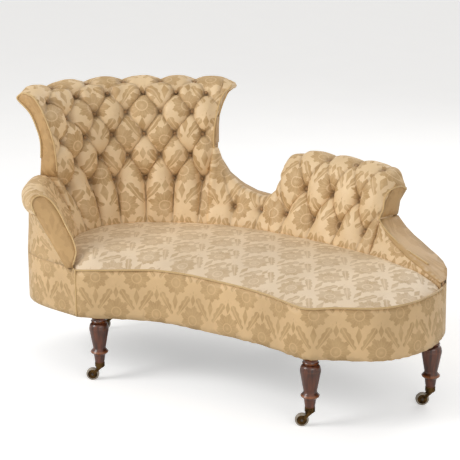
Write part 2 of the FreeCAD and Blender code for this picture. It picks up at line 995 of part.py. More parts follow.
def seat_frame():
    """Five rails that meet at the legs, with glue blocks inside the joints."""
    joints = [leg_places[name][0] for name in ("middle_front", "right_end", "rear_centre", "rear_left")]
    ends = [0] + joints + [rim_last]
    names = ["front_rail", "right_end_rail", "rear_right_rail", "rear_left_rail", "left_end_rail"]
    holes = leg_holes(leg_pin_diameter + 0.4, leg_height - 1, leg_pin_length + 2)
    inner = rail_inset + rail_thickness
    for name, start, end in zip(names, ends, ends[1:]):
        rail = band(start, end, leg_height, rail_top, rail_inset, inner)
        save(name, rail.cut(holes))
    blocks = []
    for name, (place, inset) in leg_places.items():
        depth = max(24.0, inset + 24.0 - inner)
        block = band(place - 0.35, place + 0.35, leg_height, rail_top - 12, inner + 0.2, inner + depth)
        blocks.append(block.cut(holes))
    save("glue_blocks", Part.makeCompound(blocks))


def sprung_seat():
    save("seat_webbing", webbing())
    cloth = plate(leg_height - 3.4, leg_height - 2.6, cover_thickness + 1)
    save("bottom_cloth", cloth.cut(leg_holes(56, leg_height - 6, 8)))
    coils = []
    for i, x in enumerate(strap_x[2:-1]):
        for j, y in enumerate(strap_y[:3]):
            if (i + j) % 2 == 0:
                coils.append(spring(x, y))
    save("seat_springs", Part.makeCompound(coils))
    save("spring_hessian", spring_hessian())
    roll = band(0.3, border_end - 0.3, rail_top + clearance, seat_pad_bottom - clearance,
                cover_thickness + clearance, edge_roll_width)
    save("edge_roll", roll)
    save("seat_pad", seat_pad())
    save("seat_border", band(0, border_end, leg_height - 4, border_top, 0, cover_thickness))
    save("seat_piping", band(0, border_end, lambda p: border_top(p) + clearance,
                             lambda p: border_top(p) + piping_height, -1.5, cover_thickness))


def pads():
    save("high_back_pad", high_back_pad())
    save("swoop_pad", loft([low_section(Station(s), low_top) for s in swoop_stations]))
    save("hump_pad", loft(hump_stations()))
    save("tail_pad", loft([low_section(tail_station(s), tail_top) for s in tail_stations]))
    arms = [arm_station(s) for s in arm_distances]
    save("arm_pad", loft([st.ring(arm_corners(st, share)) for st, share in arms]))


def arm_base():
    """Stuffed block on the seat rail under the arm."""
    wires = []
    for station in stations(arm_start + 20, arm_end - clearance, 50):
        out = station.rim_offset - cover_thickness - 1.3
        near = 1.5
        corners = [
            (near, pad_bottom, 0),
            (near, cover_split_height, 0),
            (out, cover_split_height, 0),
            (out, pad_bottom, 0),
        ]
        wires.append(station.ring(corners))
    return loft(wires)


def back_frame():
    """Posts on the seat rail and the curved boards that join their tops."""
    posts = []
    for s in post_distances:
        station = Station(s)
        posts.append(post(station, high_rear(station), 5))
    save("high_back_posts", Part.makeCompound(posts))
    high = [Station(s) for s, _ in high_places]
    save("high_back_top_rail", loft([board(st, high_rear(st), 4, 7) for st in high]))
    posts = []
    for s in swoop_post_distances:
        station = Station(s)
        top = table(low_top, s)
        lowest = min(table(low_top, s - post_width / 2), table(low_top, s + post_width / 2))
        posts.append(post(station, low_rear(station, low_top), 2, top - lowest + 1))
    for s in hump_post_distances:
        station = Station(s)
        ends = [table(hump_fall, s - post_width / 2), table(hump_fall, s + post_width / 2)]
        posts.append(post(station, hump_rear(station), 2, max(ends) - table(hump_fall, s) + 1))
    save("low_back_posts", Part.makeCompound(posts))
    swoop = [Station(s) for s in swoop_stations]
    save("swoop_rail", loft([board(st, swoop_rail_line(st), 0, 2) for st in swoop]))
    hump = [Station(s) for s, _ in hump_places]
    save("hump_rail", loft([board(st, hump_rear(st), 1, 3) for st in hump]))
    tail = [tail_station(s) for s in tail_stations]
    save("tail_rail", loft([board(st, tail_rail_line(st), 0, 2) for st in tail]))


def swoop_rail_line(station):
    rear = low_rear(station, low_top)
    return [rear[1], (rear[2][0], rear[2][1] - 1)]


def tail_rail_line(station):
    foot, top = low_rear(station, tail_top)[2]
    foot -= frame_gap * (station.slant - 1) * 2.6
    return [(foot, rail_top), (foot, top - 1)]


def arm_frame():
    """Two short posts on the stuffed block, and the rail under the roll."""
    pairs = [arm_station(s) for s in arm_distances[1:]]
    wires = []
    for station, share in pairs:
        wires.append(arm_board(station, arm_rail_line(station, share, 0.6, 0.96)))
    save("arm_rail", loft(wires))
    posts = []
    for start, end in arm_post_spans:
        wires = []
        for station, share in (arm_station(start), arm_station(end)):
            wires.append(arm_board(station, arm_rail_line(station, share, 0.002, 0.598)))
        posts.append(loft(wires))
    save("arm_posts", Part.makeCompound(posts))


def arm_board(station, line):
    outer = moved_in(line, frame_gap)
    inner = moved_in(line, frame_depth)
    return station.ring([(o, z, 0) for o, z in outer + inner[::-1]])


def arm_rail_line(station, share, low, high):
    (o0, z0), (o1, z1) = arm_rear(station, share)
    return [(mix(o0, o1, low), mix(z0, z1, low)), (mix(o0, o1, high), mix(z0, z1, high))]


def covers():
    """Outside cover: one band round the rails, and the panels above it."""
    skirt = []
    for start, end in ((border_end + 0.01, skirt_seam), (skirt_seam, rim_last)):
        skirt.append(band(start, end, leg_height - 4, cover_split_height - 0.1, 0, cover_thickness))
    save("outside_skirt", Part.makeCompound(skirt))
    arms = [arm_station(s) for s in arm_distances]
    save("outside_arm_cover", loft([cover_strip(st, arm_rear(st, share)) for st, share in arms]))
    high = [Station(s) for s, _ in high_places]
    save("outside_high_back_cover", loft([cover_strip(st, high_rear(st)) for st in high]))
    swoop = [Station(s) for s in swoop_stations]
    hump = [Station(s) for s, _ in hump_places]
    tail = [tail_station(s) for s in tail_stations]
    save("outside_low_back_cover", Part.makeCompound([
        loft([cover_strip(st, low_rear(st, low_top)) for st in swoop]),
        loft([cover_strip(st, hump_rear(st)) for st in hump]),
        loft([cover_strip(st, low_rear(st, tail_top)[::2]) for st in tail]),
    ]))


def end_facing(distance, front, rear, floor, start, ceiling=10000.0):
    """Flat panel over the end of a pad, between two heights."""
    station = Station(distance)
    corners = [(o, z) for o, z, _ in front] + rear[::-1]
    panel = slab(station, [(o, z, 0) for o, z in corners], start, facing_thickness)
    kept = Part.makeBox(4000, 4000, ceiling - floor, Vector(-2000, -2000, floor))
    return panel.common(kept)


def top_facing(station, top_line):
    """Strip along the flat top of the low back."""
    top = seat_back_height + table(top_line, station.distance) + clearance
    near = min(face(top), low_rear_offset(station) - frame_depth - 9)
    far = low_rear_offset(station) + 1
    corners = [(near, top), (near, top + facing_thickness), (far, top + facing_thickness), (far, top)]
    return station.ring([(o, z, 0) for o, z in corners])


def facings():
    station = Station(arm_end)
    arm_top = cover_split_height + arm_rear_section[5][1]
    front = middle_front(1.0, 0)
    nose = [(high_nose[0], high_nose[1], 0)]
    left = end_facing(arm_end, front + nose, high_rear(station), arm_top + 14, -facing_thickness)
    save("left_back_facing", left)
    station = Station(high_back_end)
    swoop_start = seat_back_height + low_top[0][1]
    right = end_facing(high_back_end, front + nose, high_rear(station), swoop_start + 12, 0,
                       up_back(ear_root) - clearance)
    save("right_back_facing", right)
    swoop = [Station(s) for s in swoop_stations[1:]]
    tail = [tail_station(s) for s in tail_stations]
    save("low_back_facings", Part.makeCompound([
        loft([top_facing(st, low_top) for st in swoop]),
        loft([top_facing(st, tail_top) for st in tail]),
    ]))
    station = Station(hump_end)
    nose = [(hump_nose[0], hump_nose[1] - 42, 0)]
    front = hump_front("middle", hump_end)
    save("hump_facing", end_facing(hump_end, front + nose, hump_rear(station), seat_back_height + tail_top[0][1] + 7, 0))
    station, share = arm_station(arm_start)
    corners = arm_corners(station, share)
    rear = [(o, z, 0) for o, z in arm_rear(station, share)[::-1]]
    save("arm_facing", slab(station, corners[:-2] + rear[1:], -facing_thickness - clearance,
                            facing_thickness))


def button(station, near, far, lift=0.4):
    """Covered button on the flat between two corners of the inner face."""
    do = far[0] - near[0]
    dz = far[1] - near[1]
    normal = (up * do - station.out * dz).normalize()
    seat = station.point((near[0] + far[0]) / 2, (near[1] + far[1]) / 2)
    radius = button_diameter / 2
    return Part.makeCone(radius, radius - 2, button_thickness, seat + normal * lift, normal)


def land(z):
    half = button_land / 2
    return (face(z - half, button_depth), z - half), (face(z + half, button_depth), z + half)


def buttons():
    made = []
    for columns, rows in ((even_columns, even_heights), (odd_columns, odd_heights)):
        for s in columns:
            station = Station(s)
            made += [button(station, *land(z)) for z in rows]
    for s in odd_columns:
        top = odd_front(odd_heights, button_land, button_depth)
        made.append(button(Station(s), top[-2][:2], top[-1][:2]))
    for s in swoop_columns:
        lift = 3.1 if s == swoop_columns[0] else 5.6
        made.append(button(Station(s), *land(lower_height), lift))
    for s in hump_even_columns:
        made.append(button(Station(s), *land(lower_height)))
        if s > hump_even_columns[0]:
            top = hump_front("even", s)
            made.append(button(Station(s), top[-2][:2], top[-1][:2]))
    for s in hump_odd_columns:
        made.append(button(Station(s), *land(hump_row_height)))
    return Part.makeCompound(made)


shapes = {}


def save(name, shape):
    shapes[name] = shape


def build():
    legs = list(leg_places)
    for name in legs:
        save(name + "_leg", leg(name))
        save(name + "_castor_fork", castor_fork(name))
        save(name + "_castor_axle", castor_axle(name))
        save(name + "_castor_wheel", castor_wheel(name))
    save("castor_cups", Part.makeCompound([castor_cup(name) for name in legs]))
    seat_frame()
    sprung_seat()
    pads()
    save("arm_base", arm_base())
    back_frame()
    arm_frame()
    covers()
    facings()
    save("buttons", buttons())


def centre():
    """Middle of the whole piece in plan."""
    box = Part.makeCompound(list(shapes.values())).BoundBox
    return Vector(box.Center.x, box.Center.y, 0)


build()
middle = centre()

if __name__ == "__main__":
    os.makedirs("parts", exist_ok=True)
    for name, shape in shapes.items():
        shape.translate(middle * -1)
        shape.exportStep("parts/" + name + ".step")
        print(name, shape.isValid(), len(shape.Solids), round(shape.Volume / 1e6, 3), len(shape.Faces))
    print("centre", middle)
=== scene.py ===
import json
import math

import bmesh
import bpy
import numpy as np
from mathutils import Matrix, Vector
from mathutils.bvhtree import BVHTree


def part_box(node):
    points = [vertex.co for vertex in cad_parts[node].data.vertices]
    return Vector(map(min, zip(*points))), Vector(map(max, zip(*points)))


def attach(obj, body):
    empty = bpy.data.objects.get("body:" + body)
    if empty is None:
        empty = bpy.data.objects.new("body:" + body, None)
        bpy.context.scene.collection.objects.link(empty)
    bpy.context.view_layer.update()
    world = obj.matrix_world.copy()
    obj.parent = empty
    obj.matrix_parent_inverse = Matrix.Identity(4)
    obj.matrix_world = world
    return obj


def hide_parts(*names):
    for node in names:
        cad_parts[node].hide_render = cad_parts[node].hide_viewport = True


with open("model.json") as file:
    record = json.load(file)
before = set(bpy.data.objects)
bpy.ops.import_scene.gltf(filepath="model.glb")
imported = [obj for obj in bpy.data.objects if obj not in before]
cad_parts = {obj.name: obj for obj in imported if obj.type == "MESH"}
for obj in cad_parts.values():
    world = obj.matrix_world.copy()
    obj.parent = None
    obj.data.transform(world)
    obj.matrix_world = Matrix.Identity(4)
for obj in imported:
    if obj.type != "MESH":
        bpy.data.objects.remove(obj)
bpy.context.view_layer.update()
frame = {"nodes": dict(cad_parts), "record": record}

# Plan outline of the seat frame in metres, before it is centred: x, y, how far the
# top of the border leans in, and how much higher it is there
RIM = [
    (-0.262, -0.551, 0, -0.004), (-0.150, -0.507, 0.004, 0.002), (-0.020, -0.452, 0.010, 0.008),
    (0.127, -0.439, 0.013, 0.010), (0.330, -0.445, 0.010, 0.006), (0.480, -0.466, 0.004, 0),
    (0.590, -0.492, 0, -0.003), (0.665, -0.455, 0.006, 0), (0.775, -0.397, 0.012, 0),
    (0.845, -0.315, 0.016, 0), (0.878, -0.195, 0.018, 0), (0.868, -0.070, 0.008, 0),
    (0.820, 0.045, 0, 0), (0.700, 0.130, 0, 0), (0.500, 0.200, 0, 0), (0.300, 0.232, 0, 0),
    (0.100, 0.240, 0, 0), (-0.100, 0.226, 0, 0), (-0.300, 0.172, 0, 0), (-0.470, 0.060, 0, 0),
    (-0.585, -0.075, 0, 0), (-0.636, -0.200, 0, 0), (-0.630, -0.310, 0, 0), (-0.590, -0.410, 0, 0),
    (-0.497, -0.498, 0, 0), (-0.370, -0.534, 0, 0), (-0.262, -0.551, 0, -0.004),
]
FOOT = [
    (-0.270, -0.550), (-0.360, -0.458), (-0.443, -0.335), (-0.466, -0.180), (-0.380, -0.040),
    (-0.250, 0.046), (-0.110, 0.100), (0.054, 0.118), (0.228, 0.106), (0.448, 0.065),
    (0.677, -0.006), (0.862, -0.074),
]
LEG_PLACE, LEG_INSET = 6.25, 0.029
BORDER_END = 11.0
LEG_TOP = 0.235
BORDER = 0.160
SPLIT = 0.400

# Front line of the back, as height and offset behind the foot line
FACE = [
    (0.330, 0.0), (0.430, 0.0), (0.500, 0.035), (0.590, 0.070), (0.650, 0.078), (0.705, 0.079),
    (0.750, 0.083), (0.820, 0.105), (0.880, 0.132), (0.910, 0.150), (0.923, 0.166),
]
# Line down the rear of the high back, as offset and height
HIGH_REAR = [(0.222, 0.905), (0.204, 0.889), (0.177, 0.862), (0.153, 0.812), (0.141, 0.776),
             (0.139, 0.701), (0.144, 0.590)]
# Right edge of the high back, then the swoop, as height and distance along the foot line
RIGHT_EDGE = [(0.700, 0.8680), (0.755, 0.8665), (0.808, 0.869), (0.853, 0.874), (0.880, 0.880),
              (0.899, 0.887), (0.914, 0.900), (0.932, 0.904)]
SWOOP = [(0.868, 0.700), (0.881, 0.655), (0.911, 0.602), (0.952, 0.566), (1.003, 0.543),
         (1.059, 0.534), (1.092, 0.546), (1.118, 0.578)]
# Offset of the front edge of the swoop's top strip
SWOOP_EDGE = 0.085
# Piped edges of the end of the hump and of the arm, as offset and height
HUMP_LOOP = [(0.045, 0.552), (0.068, 0.579), (0.074, 0.613), (0.083, 0.629), (0.106, 0.643), (0.136, 0.648),
             (0.162, 0.645), (0.178, 0.632)]
ARM_LOOP = [(0.002, 0.408), (-0.014, 0.446), (0.000, 0.500), (0.022, 0.548), (0.040, 0.585), (0.060, 0.610),
            (0.095, 0.625), (0.120, 0.612), (0.124, 0.598), (0.112, 0.566)]
# Top of the tail, as distance and height
TAIL_TOP = [(1.560, 0.545), (1.600, 0.512), (1.640, 0.490), (1.721, 0.460), (1.800, 0.440), (1.904, 0.411)]

ARM_START, ARM_END = 0.008, 0.334
HIGH_END, HUMP_END = 0.868, 1.560
BUTTON_SINK = 0.007
BUTTON_PROUD = 0.0022
THIN_CLOTH_EDGE = 0.03
THIN_CLOTH_FILL = 0.4
PAD_FILL = 0.8
PAD_ROUNDS = 5
TUFTED_VOXEL = 0.0045
# How far from a pleat, a button or the end of a pad the cloth is still drawn in, and how far the painted
# shade along the pleats and round the buttons reaches
PLEAT_REACH = 0.006
CREASE_SHADE_REACH = 0.0035
FUNNEL_REACH = 0.030
DIMPLE_REACH = 0.011
SHADOW_REACH = 0.013
END_REACH = 0.035


def natural_spline(knots, values):
    """Second derivatives of a natural cubic spline, for spline_at."""
    k = np.array(knots, float)
    v = np.array(values, float)
    n = len(k)
    a = np.eye(n)
    b = np.zeros_like(v)
    h = np.diff(k)
    for i in range(1, n - 1):
        a[i, i - 1], a[i, i], a[i, i + 1] = h[i - 1], 2 * (h[i - 1] + h[i]), h[i]
        b[i] = 6 * ((v[i + 1] - v[i]) / h[i] - (v[i] - v[i - 1]) / h[i - 1])
    return k, v, np.linalg.solve(a, b)


def spline_at(spline, x):
    k, v, m = spline
    x = np.asarray(x, float)
    i = np.clip(np.searchsorted(k, x, side="right") - 1, 0, len(k) - 2)
    h = k[i + 1] - k[i]
    a = (k[i + 1] - x) / h
    b = (x - k[i]) / h
    if v.ndim == 2:
        a, b, h = a[..., None], b[..., None], h[..., None]
    return (a * v[i] + b * v[i + 1]
            + ((a ** 3 - a) * m[i] + (b ** 3 - b) * m[i + 1]) * h * h / 6)


def reading(table, x):
    """Straight-line reading of a list of pairs."""
    return np.interp(x, [p[0] for p in table], [p[1] for p in table])


def smooth_step(low, high, x):
    t = np.clip((np.asarray(x, float) - low) / (high - low), 0, 1)
    return t * t * (3 - 2 * t)


rim_points = np.array([p[:2] for p in RIM])
rim_spline = natural_spline(range(len(RIM)), rim_points)


def rim_tangent(place):
    d = spline_at(rim_spline, place + 0.001) - spline_at(rim_spline, place - 0.001)
    return d / np.linalg.norm(d, axis=-1, keepdims=True)


def rim_inward(place):
    """Inward normal of the outline, mitred at its corner."""
    last = len(RIM) - 1
    place = np.asarray(place, float)
    t = rim_tangent(np.clip(place, 0.001, last - 0.001))
    n = np.stack([-t[..., 1], t[..., 0]], -1)
    a = rim_tangent(np.array(0.001))
    b = rim_tangent(np.array(last - 0.001))
    mitre = np.array([-a[1] - b[1], a[0] + b[0]]) / (1 + a @ b)
    corner = (place < 0.002) | (place > last - 0.002)
    return np.where(corner[..., None], mitre, n)


leg_low, leg_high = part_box("middle_front_leg")
leg_axis = np.array((leg_low + leg_high) / 2)[:2]
SHIFT = leg_axis - (spline_at(rim_spline, LEG_PLACE) + rim_inward(LEG_PLACE) * LEG_INSET)


def rim(place, z, inset=0.0):
    """Points of the border in the row frame."""
    place = np.asarray(place, float)
    z = np.broadcast_to(z, place.shape)
    lean = np.interp(place, range(len(RIM)), [p[2] for p in RIM]) * (z - LEG_TOP) / BORDER
    xy = spline_at(rim_spline, place) + rim_inward(place) * (inset + lean)[..., None] + SHIFT
    return np.concatenate([xy, z[..., None]], -1)


def border_top(place):
    return LEG_TOP + BORDER + np.interp(place, range(len(RIM)), [p[3] for p in RIM])


foot_points = np.array(FOOT)
chords = np.linalg.norm(np.diff(foot_points, axis=0), axis=1)
foot_spline = natural_spline(np.concatenate([[0], np.cumsum(chords)]), foot_points)
fine = np.linspace(0, foot_spline[0][-1], 3000)
fine_xy = spline_at(foot_spline, fine)
fine_length = np.concatenate([[0], np.cumsum(np.linalg.norm(np.diff(fine_xy, axis=0), axis=1))])
rim_fine = spline_at(rim_spline, np.linspace(0, len(RIM) - 1, 4000))


def foot(distance):
    """Plan point of the foot line, its direction and the direction away from the sitter."""
    at = np.interp(distance, fine_length, fine)
    xy = spline_at(foot_spline, at)
    d = spline_at(foot_spline, at + 1e-4) - spline_at(foot_spline, at - 1e-4)
    along = d / np.linalg.norm(d, axis=-1, keepdims=True)
    out = np.stack([-along[..., 1], along[..., 0]], -1)
    return xy, along, out


def point(distance, offset, z, along=0.0):
    """Point of a cross-section square to the foot line, in the row frame."""
    distance, offset, z, along = np.broadcast_arrays(distance, offset, z, along)
    xy, forward, out = foot(distance)
    xy = xy + out * offset[..., None] + forward * along[..., None] + SHIFT
    return np.concatenate([xy, z[..., None]], -1)


# Meshes
COLLECTION = bpy.context.scene.collection


def mesh_object(name, points, faces, uv, material, smooth=True):
    """Mesh with one texture coordinate per vertex, in metres of cloth."""
    mesh = bpy.data.meshes.new(name)
    mesh.from_pydata([tuple(p) for p in points], [], [tuple(f) for f in faces])
    mesh.update()
    layer = mesh.uv_layers.new(name="cloth")
    loops = np.zeros(len(mesh.loops), np.int32)
    mesh.loops.foreach_get("vertex_index", loops)
    layer.data.foreach_set("uv", np.asarray(uv, float)[loops].ravel())
    if smooth:
        mesh.polygons.foreach_set("use_smooth", [True] * len(mesh.polygons))
    mesh.materials.append(material)
    obj = bpy.data.objects.new(name, mesh)
    COLLECTION.objects.link(obj)
    return obj


def lengths(points, axis):
    """Running length of a grid of points along one axis."""
    steps = np.linalg.norm(np.diff(points, axis=axis), axis=-1)
    zero = np.zeros_like(np.take(steps, [0], axis=axis))
    return np.concatenate([zero, np.cumsum(steps, axis=axis)], axis=axis)


def resampled(points, count):
    """Points spaced evenly along a line."""
    points = np.asarray(points, float)
    run = np.concatenate([[0], np.cumsum(np.linalg.norm(np.diff(points, axis=0), axis=1))])
    at = np.linspace(0, run[-1], count)
    return np.stack([np.interp(at, run, points[:, k]) for k in range(points.shape[1])], 1)


def smoothed(points, count):
    """Evenly spaced points on a smooth line through points."""
    points = np.asarray(points, float)
    run = np.concatenate([[0], np.cumsum(np.linalg.norm(np.diff(points, axis=0), axis=1))])
    dense = spline_at(natural_spline(run, points), np.linspace(0, run[-1], count * 8))
    return resampled(dense, count)


def tube(name, points, radius, material, closed=False):
    """Round cord along a line, with its ends closed."""
    points = np.asarray(points, float)
    n, sides = len(points), 10
    if closed:
        tangent = np.roll(points, -1, 0) - np.roll(points, 1, 0)
    else:
        tangent = np.gradient(points, axis=0)
    tangent /= np.linalg.norm(tangent, axis=1, keepdims=True)
    normal = np.cross(tangent[0], (0.13, 0.21, 0.97))
    rings = []
    for k in range(n):
        normal = normal - tangent[k] * (normal @ tangent[k])
        normal /= np.linalg.norm(normal)
        side = np.cross(tangent[k], normal)
        angle = np.linspace(0, 2 * np.pi, sides, endpoint=False)[:, None]
        rings.append(points[k] + radius * (np.cos(angle) * normal + np.sin(angle) * side))
    rings = np.array(rings)
    run = lengths(points[:, None], 0)[:, 0]
    uv = np.stack(np.broadcast_arrays(run[:, None], np.linspace(0, 6 * radius, sides)[None]), -1)
    faces = []
    for i in range(n if closed else n - 1):
        for j in range(sides):
            a, b = i * sides, ((i + 1) % n) * sides
            faces.append((a + j, a + (j + 1) % sides, b + (j + 1) % sides, b + j))
    if not closed:
        faces.append(tuple(range(sides))[::-1])
        faces.append(tuple(range((n - 1) * sides, n * sides)))
    return mesh_object(name, rings.reshape(-1, 3), faces, uv.reshape(-1, 2), material)


# Materials
def srgb(r, g, b):
    """Linear colour of an 8-bit display colour."""
    linear = [(c / 255 / 12.92 if c < 11 else ((c / 255 + 0.055) / 1.055) ** 2.4) for c in (r, g, b)]
    return (*linear, 1.0)


class Field:
    """A number that varies over a surface, built up from Math nodes."""

    def __init__(self, tree, socket):
        self.tree = tree
        self.socket = socket

    def op(self, operation, *others, clamp=False):
        node = self.tree.nodes.new("ShaderNodeMath")
        node.operation = operation
        node.use_clamp = clamp
        for k, value in enumerate((self,) + others):
            if isinstance(value, Field):
                self.tree.links.new(value.socket, node.inputs[k])
            else:
                node.inputs[k].default_value = value
        return Field(self.tree, node.outputs[0])

    def __add__(self, other):
        return self.op("ADD", other)

    def __sub__(self, other):
        return self.op("SUBTRACT", other)

    def __rsub__(self, other):
        return self * -1.0 + other

    def __mul__(self, other):
        return self.op("MULTIPLY", other)

    def __truediv__(self, other):
        return self.op("DIVIDE", other)

    def __abs__(self):
        return self.op("ABSOLUTE")

    def over(self, low, high):
        """0 below low, 1 above high."""
        scaled = (self - low) / (high - low)
        return scaled.op("ADD", 0.0, clamp=True)


def new_material(name):
    material = bpy.data.materials.new(name)
    material.use_nodes = True
    tree = material.node_tree
    return material, tree, tree.nodes["Principled BSDF"]


def cloth_uv(tree):
    uv = tree.nodes.new("ShaderNodeUVMap")
    uv.uv_map = "cloth"
    split = tree.nodes.new("ShaderNodeSeparateXYZ")
    tree.links.new(uv.outputs[0], split.inputs[0])
    return Field(tree, split.outputs[0]), Field(tree, split.outputs[1])


def noise(tree, scale, detail=3.0, vector=None):
    node = tree.nodes.new("ShaderNodeTexNoise")
    node.inputs["Scale"].default_value = scale
    node.inputs["Detail"].default_value = detail
    if vector is None:
        vector = tree.nodes.new("ShaderNodeTexCoord").outputs["Object"]
    tree.links.new(vector, node.inputs["Vector"])
    return Field(tree, node.outputs["Fac"])


def mixed(tree, field, a, b):
    node = tree.nodes.new("ShaderNodeMix")
    node.data_type = "RGBA"
    if isinstance(field, Field):
        tree.links.new(field.socket, node.inputs[0])
    else:
        node.inputs[0].default_value = field
    for socket, colour in ((node.inputs[6], a), (node.inputs[7], b)):
        if isinstance(colour, tuple):
            socket.default_value = colour
        else:
            tree.links.new(colour, socket)
    return node.outputs[2]


def bumped(tree, shader, field, distance, strength=1.0):
    node = tree.nodes.new("ShaderNodeBump")
    node.inputs["Strength"].default_value = strength
    node.inputs["Distance"].default_value = distance
    tree.links.new(field.socket, node.inputs["Height"])
    tree.links.new(node.outputs[0], shader.inputs["Normal"])


LATTICE_W, LATTICE_H = 0.140, 0.235
# Brown of the painted shade along the pleats and round the buttons
PAINTED_SHADE_BROWN = srgb(96, 66, 34)


def medallion(x, y):
    """Palmette with a ringed flower over two serrated leaves that meet in a point."""
    side = abs(x)
    above = y - 0.024
    r = (x * x + above * above).op("SQRT")
    angle = above.op("ARCTAN2", x)
    petals = (angle * 9.0).op("COSINE")
    serration = (angle * 31.0).op("COSINE") * 0.0016
    palmette = (petals * 0.005 + serration + 0.042 - r + above * 0.10).over(0.0, 0.002)
    veins = (petals.op("ABSOLUTE") * r * 60.0).over(0.10, 0.40) * 0.5 + 0.5
    ring = (abs(r - 0.016)).over(0.0010, 0.0026) * 0.7 + 0.3
    a, b = math.cos(1.03), math.sin(1.03)
    across, down = side - 0.034, y + 0.047
    lengthwise = (across * a + down * b) / 0.047
    sideways = (down * a - across * b) / 0.0125
    lobes = (lengthwise * 13.0).op("SINE") * 0.26
    leaf = (lobes + 0.95 - (lengthwise * lengthwise + sideways * sideways)).over(0.0, 0.15)
    rib = abs(sideways).over(0.05, 0.22) * 0.6 + 0.4
    tip = (0.011 - side - abs(y + 0.040) * 0.35).over(0.0, 0.002)
    bud = (0.010 - side - abs(y - 0.092) * 0.45).over(0.0, 0.002)
    figure = (palmette * ring * veins).op("MAXIMUM", leaf * rib)
    return figure.op("MAXIMUM", tip).op("MAXIMUM", bud)


def damask_pattern(u, v):
    """Matt motif of the damask: medallions in an ogee lattice, with bands between."""
    p, q = u / LATTICE_W, v / LATTICE_H
    bend = (q * 4 * math.pi).op("SINE") * 0.035
    q2 = q - bend
    value = (p * 2 * math.pi).op("COSINE") + (q2 * 2 * math.pi).op("COSINE")
    first = value.over(-0.001, 0.001)
    shift = first.op("SUBTRACT", 1.0) * -0.5
    xs, ys = p + shift, q + shift
    x = (xs - xs.op("ROUND")) * LATTICE_W
    y = (ys - ys.op("ROUND")) * LATTICE_H
    return medallion(x, y)


def damask(name, ground, motif, strength):
    """Silk damask: glossy satin ground and matt motif, tone on tone, with warp lines."""
    material, tree, shader = new_material(name)
    u, v = cloth_uv(tree)
    fade = noise(tree, 26.0, 3.0).over(0.25, 0.65) * 0.5 + 0.5
    motif_field = damask_pattern(u, v) * fade * strength
    broad = noise(tree, 5.0, 2.0)
    worn = noise(tree, 38.0, 4.0)
    warp = (u * (2 * math.pi / 0.0011)).op("SINE") * 0.5 + (v * (2 * math.pi / 0.0016)).op("SINE") * 0.5
    colour = mixed(tree, motif_field, ground, motif)
    shade = tuple(c * 0.70 for c in motif[:3]) + (1.0,)
    shine = tuple(min(1, c * 1.25) for c in ground[:3]) + (1.0,)
    darker = mixed(tree, broad.over(0.35, 0.75) * 0.30, colour, shade)
    lighter = mixed(tree, worn.over(0.55, 0.80) * 0.18, darker, shine)
    # Painted shade: the fold attribute mixes a brown into the colour along the pleats and round the buttons
    fold = tree.nodes.new("ShaderNodeAttribute")
    fold.attribute_name = "fold"
    shaded = mixed(tree, Field(tree, fold.outputs["Fac"]) * 0.75, lighter, PAINTED_SHADE_BROWN)
    tree.links.new(shaded, shader.inputs["Base Color"])
    rough = motif_field * 0.24 + worn * 0.14 + 0.34
    tree.links.new(rough.socket, shader.inputs["Roughness"])
    shader.inputs["Sheen Weight"].default_value = 0.35
    shader.inputs["Sheen Roughness"].default_value = 0.4
    shader.inputs["Sheen Tint"].default_value = srgb(250, 225, 180)
    shader.inputs["Specular IOR Level"].default_value = 0.42
    bumped(tree, shader, warp * 0.12 + motif_field * 0.5 + worn * 0.3, 0.0006)
    return material


def plain_cloth(name, base, dark, pitch, depth, rough=0.85):
    """Plain woven cloth with threads both ways."""
    material, tree, shader = new_material(name)
    node = tree.nodes.new("ShaderNodeTexCoord")
    split = tree.nodes.new("ShaderNodeSeparateXYZ")
    tree.links.new(node.outputs["Object"], split.inputs[0])
    x, y, z = (Field(tree, split.outputs[k]) for k in range(3))
    k = 2 * math.pi / pitch
    weave = ((x + z * 0.7) * k).op("SINE") * ((y - z * 0.7) * k).op("SINE") * 0.5 + 0.5
    colour = mixed(tree, weave * 0.5 + noise(tree, 60.0) * 0.5, dark, base)
    tree.links.new(colour, shader.inputs["Base Color"])
    shader.inputs["Roughness"].default_value = rough
    shader.inputs["Sheen Weight"].default_value = 0.2
    bumped(tree, shader, weave, depth)
    return material


def corded(name, base, dark):
    """Cloth piping, its threads running slantwise round the cord."""
    material, tree, shader = new_material(name)
    u, v = cloth_uv(tree)
    twist = ((u * 1.0 + v * 0.6) * (2 * math.pi / 0.004)).op("SINE") * 0.5 + 0.5
    colour = mixed(tree, twist * 0.5 + noise(tree, 30.0) * 0.5, dark, base)
    tree.links.new(colour, shader.inputs["Base Color"])
    shader.inputs["Roughness"].default_value = 0.5
    shader.inputs["Sheen Weight"].default_value = 0.3
    bumped(tree, shader, twist, 0.0003)
    return material


def wood(name, dark, light, worn, coat, rough, wear):
    """Wood with long grain up the piece and worn, paler edges."""
    material, tree, shader = new_material(name)
    coordinates = tree.nodes.new("ShaderNodeTexCoord")
    stretch = tree.nodes.new("ShaderNodeMapping")
    stretch.inputs["Scale"].default_value = (1.0, 1.0, 0.08)
    tree.links.new(coordinates.outputs["Object"], stretch.inputs["Vector"])
    grain = noise(tree, 90.0, 6.0, stretch.outputs[0])
    pores = noise(tree, 400.0, 2.0, stretch.outputs[0])
    blotch = noise(tree, 14.0, 3.0)
    geometry = tree.nodes.new("ShaderNodeNewGeometry")
    ridge = Field(tree, geometry.outputs["Pointiness"]).over(0.505, 0.56)
    colour = mixed(tree, grain.over(0.3, 0.7), dark, light)
    colour = mixed(tree, (ridge * blotch).over(0.1, 0.7) * wear, colour, worn)
    colour = mixed(tree, pores.over(0.6, 0.8) * 0.4, colour, tuple(c * 0.4 for c in dark[:3]) + (1.0,))
    tree.links.new(colour, shader.inputs["Base Color"])
    tree.links.new((blotch * 0.2 + grain * 0.1 + rough).socket, shader.inputs["Roughness"])
    shader.inputs["Coat Weight"].default_value = coat
    shader.inputs["Coat Roughness"].default_value = 0.12
    bumped(tree, shader, grain * 0.6 + pores * 0.4, 0.0002)
    return material


